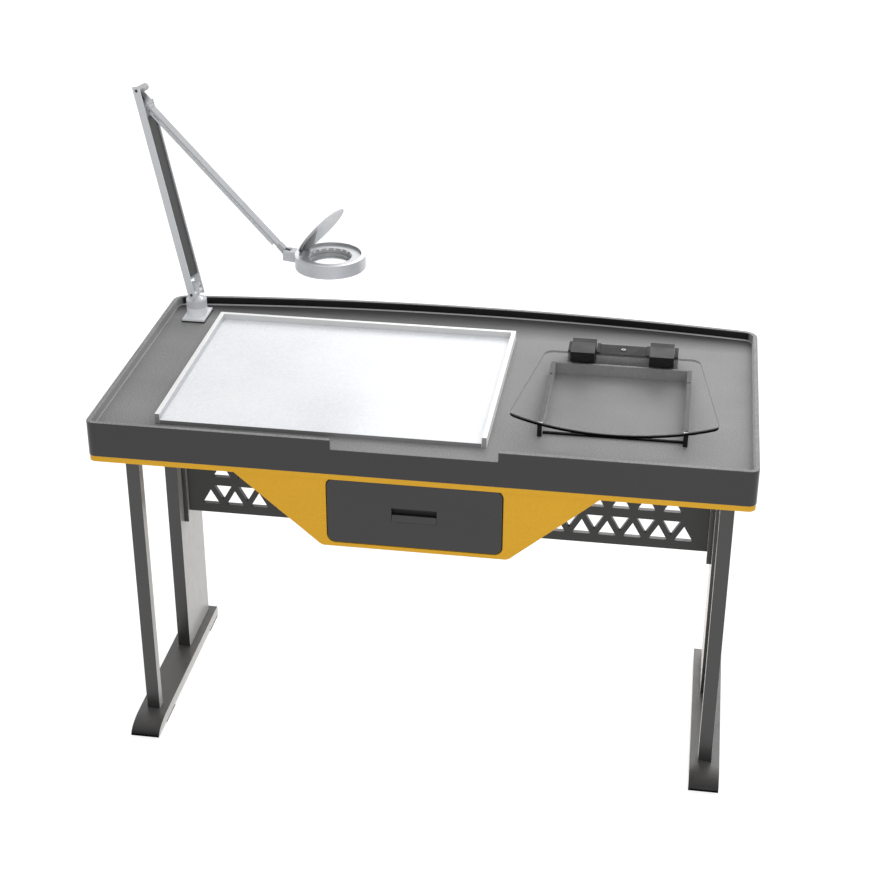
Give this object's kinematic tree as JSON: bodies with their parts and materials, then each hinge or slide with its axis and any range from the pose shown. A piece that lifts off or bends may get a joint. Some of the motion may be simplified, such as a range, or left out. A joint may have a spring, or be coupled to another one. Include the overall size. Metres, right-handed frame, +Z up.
{
  "type": "inspection bench with light box",
  "caption": "Dark grey bench top with an inset light panel, a swing-arm magnifier with a lidded lens, a specimen tray under a hinged glass, a drawer, and leg frames joined by a lattice panel.",
  "frame": {"origin": "on the floor, under the middle of the bench's bounding box", "axes": "+X along the bench's width to the right, +Y to the back, +Z up"},
  "size_m": [1.243, 0.628, 1.19],
  "materials": {
    "shell": "dark grey, fine matt texture",
    "yellow_sheet": "yellow powder coat",
    "dark_sheet": "dark grey powder coat",
    "white_frame": "white",
    "opal": "opal white",
    "lamp_tray": "white inside the light box",
    "light": "light strips",
    "supply": "plain case",
    "steel": "plain",
    "bright": "polished screw",
    "rubber": "black",
    "silver": "satin silver",
    "silver_plastic": "light grey",
    "dark_plastic": "dark grey",
    "black_plastic": "black",
    "glass": "clear",
    "lens": "clear"
  },
  "bodies": {
    "bench": {"top_shell": "shell", "base_pan": "yellow_sheet", "fascia": "yellow_sheet", "drawer_housing": "yellow_sheet", "runner_left": "steel", "runner_right": "steel", "light_frame": "white_frame", "diffuser": "opal", "light_tray": "lamp_tray", "light_strips": "light", "power_supply": "supply", "tray_rails": "dark_sheet", "tray_back": "dark_sheet", "tray_sill": "dark_plastic", "tray_pads": "rubber", "tray_screws": "black_plastic", "hinge_bar": "dark_sheet", "hinge_pin": "steel", "hinge_screw": "bright", "lamp_pad": "rubber", "lamp_base": "silver", "foot_left": "dark_sheet", "foot_right": "dark_sheet", "front_leg_left": "dark_sheet", "front_leg_right": "dark_sheet", "rear_post_left": "dark_sheet", "rear_post_right": "dark_sheet", "foot_pads": "rubber", "top_rail_left": "dark_sheet", "top_rail_right": "dark_sheet", "rail_bolts": "steel", "back_panel": "dark_sheet", "bracket_left": "dark_sheet", "bracket_right": "dark_sheet", "power_inlet": "black_plastic"},
    "rocker": {"power_switch": "black_plastic"},
    "drawer": {"drawer_front": "dark_plastic", "drawer_pull": "black_plastic", "drawer_box": "dark_sheet", "drawer_slides": "steel"},
    "cover": {"cover_glass": "glass", "knuckle_left": "dark_plastic", "knuckle_right": "dark_plastic", "clamp_plates": "dark_plastic", "clamp_screws": "steel"},
    "swivel": {"swivel_post": "silver"},
    "lower_arm": {"lower_arm": "silver", "arm_cover": "dark_plastic", "arm_pins": "steel"},
    "upper_arm": {"upper_arm": "silver", "arm_rod": "silver"},
    "head": {"neck_block": "silver_plastic", "head_ring": "silver_plastic", "led_ring": "light", "led_cover": "opal", "lens": "lens", "lens_retainer": "steel", "head_pins": "steel"},
    "lid": {"lens_lid": "silver_plastic"}
  },
  "joints": [
    {"name": "drawer_slide", "type": "slide", "parent": "bench", "child": "drawer", "axis": [0, -1, 0], "range_m": [0, 0.25]},
    {"name": "cover_hinge", "type": "hinge", "parent": "bench", "child": "cover", "pos_m": [0.36249, 0.1255, 0.728], "axis": [-1, 0, 0], "range_deg": [0, 100]},
    {"name": "lamp_swivel", "type": "hinge", "parent": "bench", "child": "swivel", "pos_m": [-0.51651, 0.215, 0.736], "axis": [0, 0, 1], "range_deg": [-75, 75]},
    {"name": "shoulder", "type": "hinge", "parent": "swivel", "child": "lower_arm", "pos_m": [-0.51651, 0.215, 0.766], "axis": [0.2588, 0.9659, 0], "range_deg": [-15, 10]},
    {"name": "elbow", "type": "hinge", "parent": "lower_arm", "child": "upper_arm", "pos_m": [-0.60746, 0.23937, 1.18044], "axis": [-0.2588, -0.9659, 0], "range_deg": [-5, 60]},
    {"name": "head_tilt", "type": "hinge", "parent": "upper_arm", "child": "head", "pos_m": [-0.3057, 0.15851, 0.88468], "axis": [-0.2588, -0.9659, 0], "range_deg": [-12, 40]},
    {"name": "lid_hinge", "type": "hinge", "parent": "head", "child": "lid", "pos_m": [-0.26943, 0.15394, 0.90188], "axis": [-0.342, -0.9397, 0], "range_deg": [-52, 45]},
    {"name": "power_rocker", "type": "hinge", "parent": "bench", "child": "rocker", "pos_m": [0.00699, 0.306, 0.68375], "axis": [1, 0, 0], "range_deg": [-16, 0]}
  ]
}
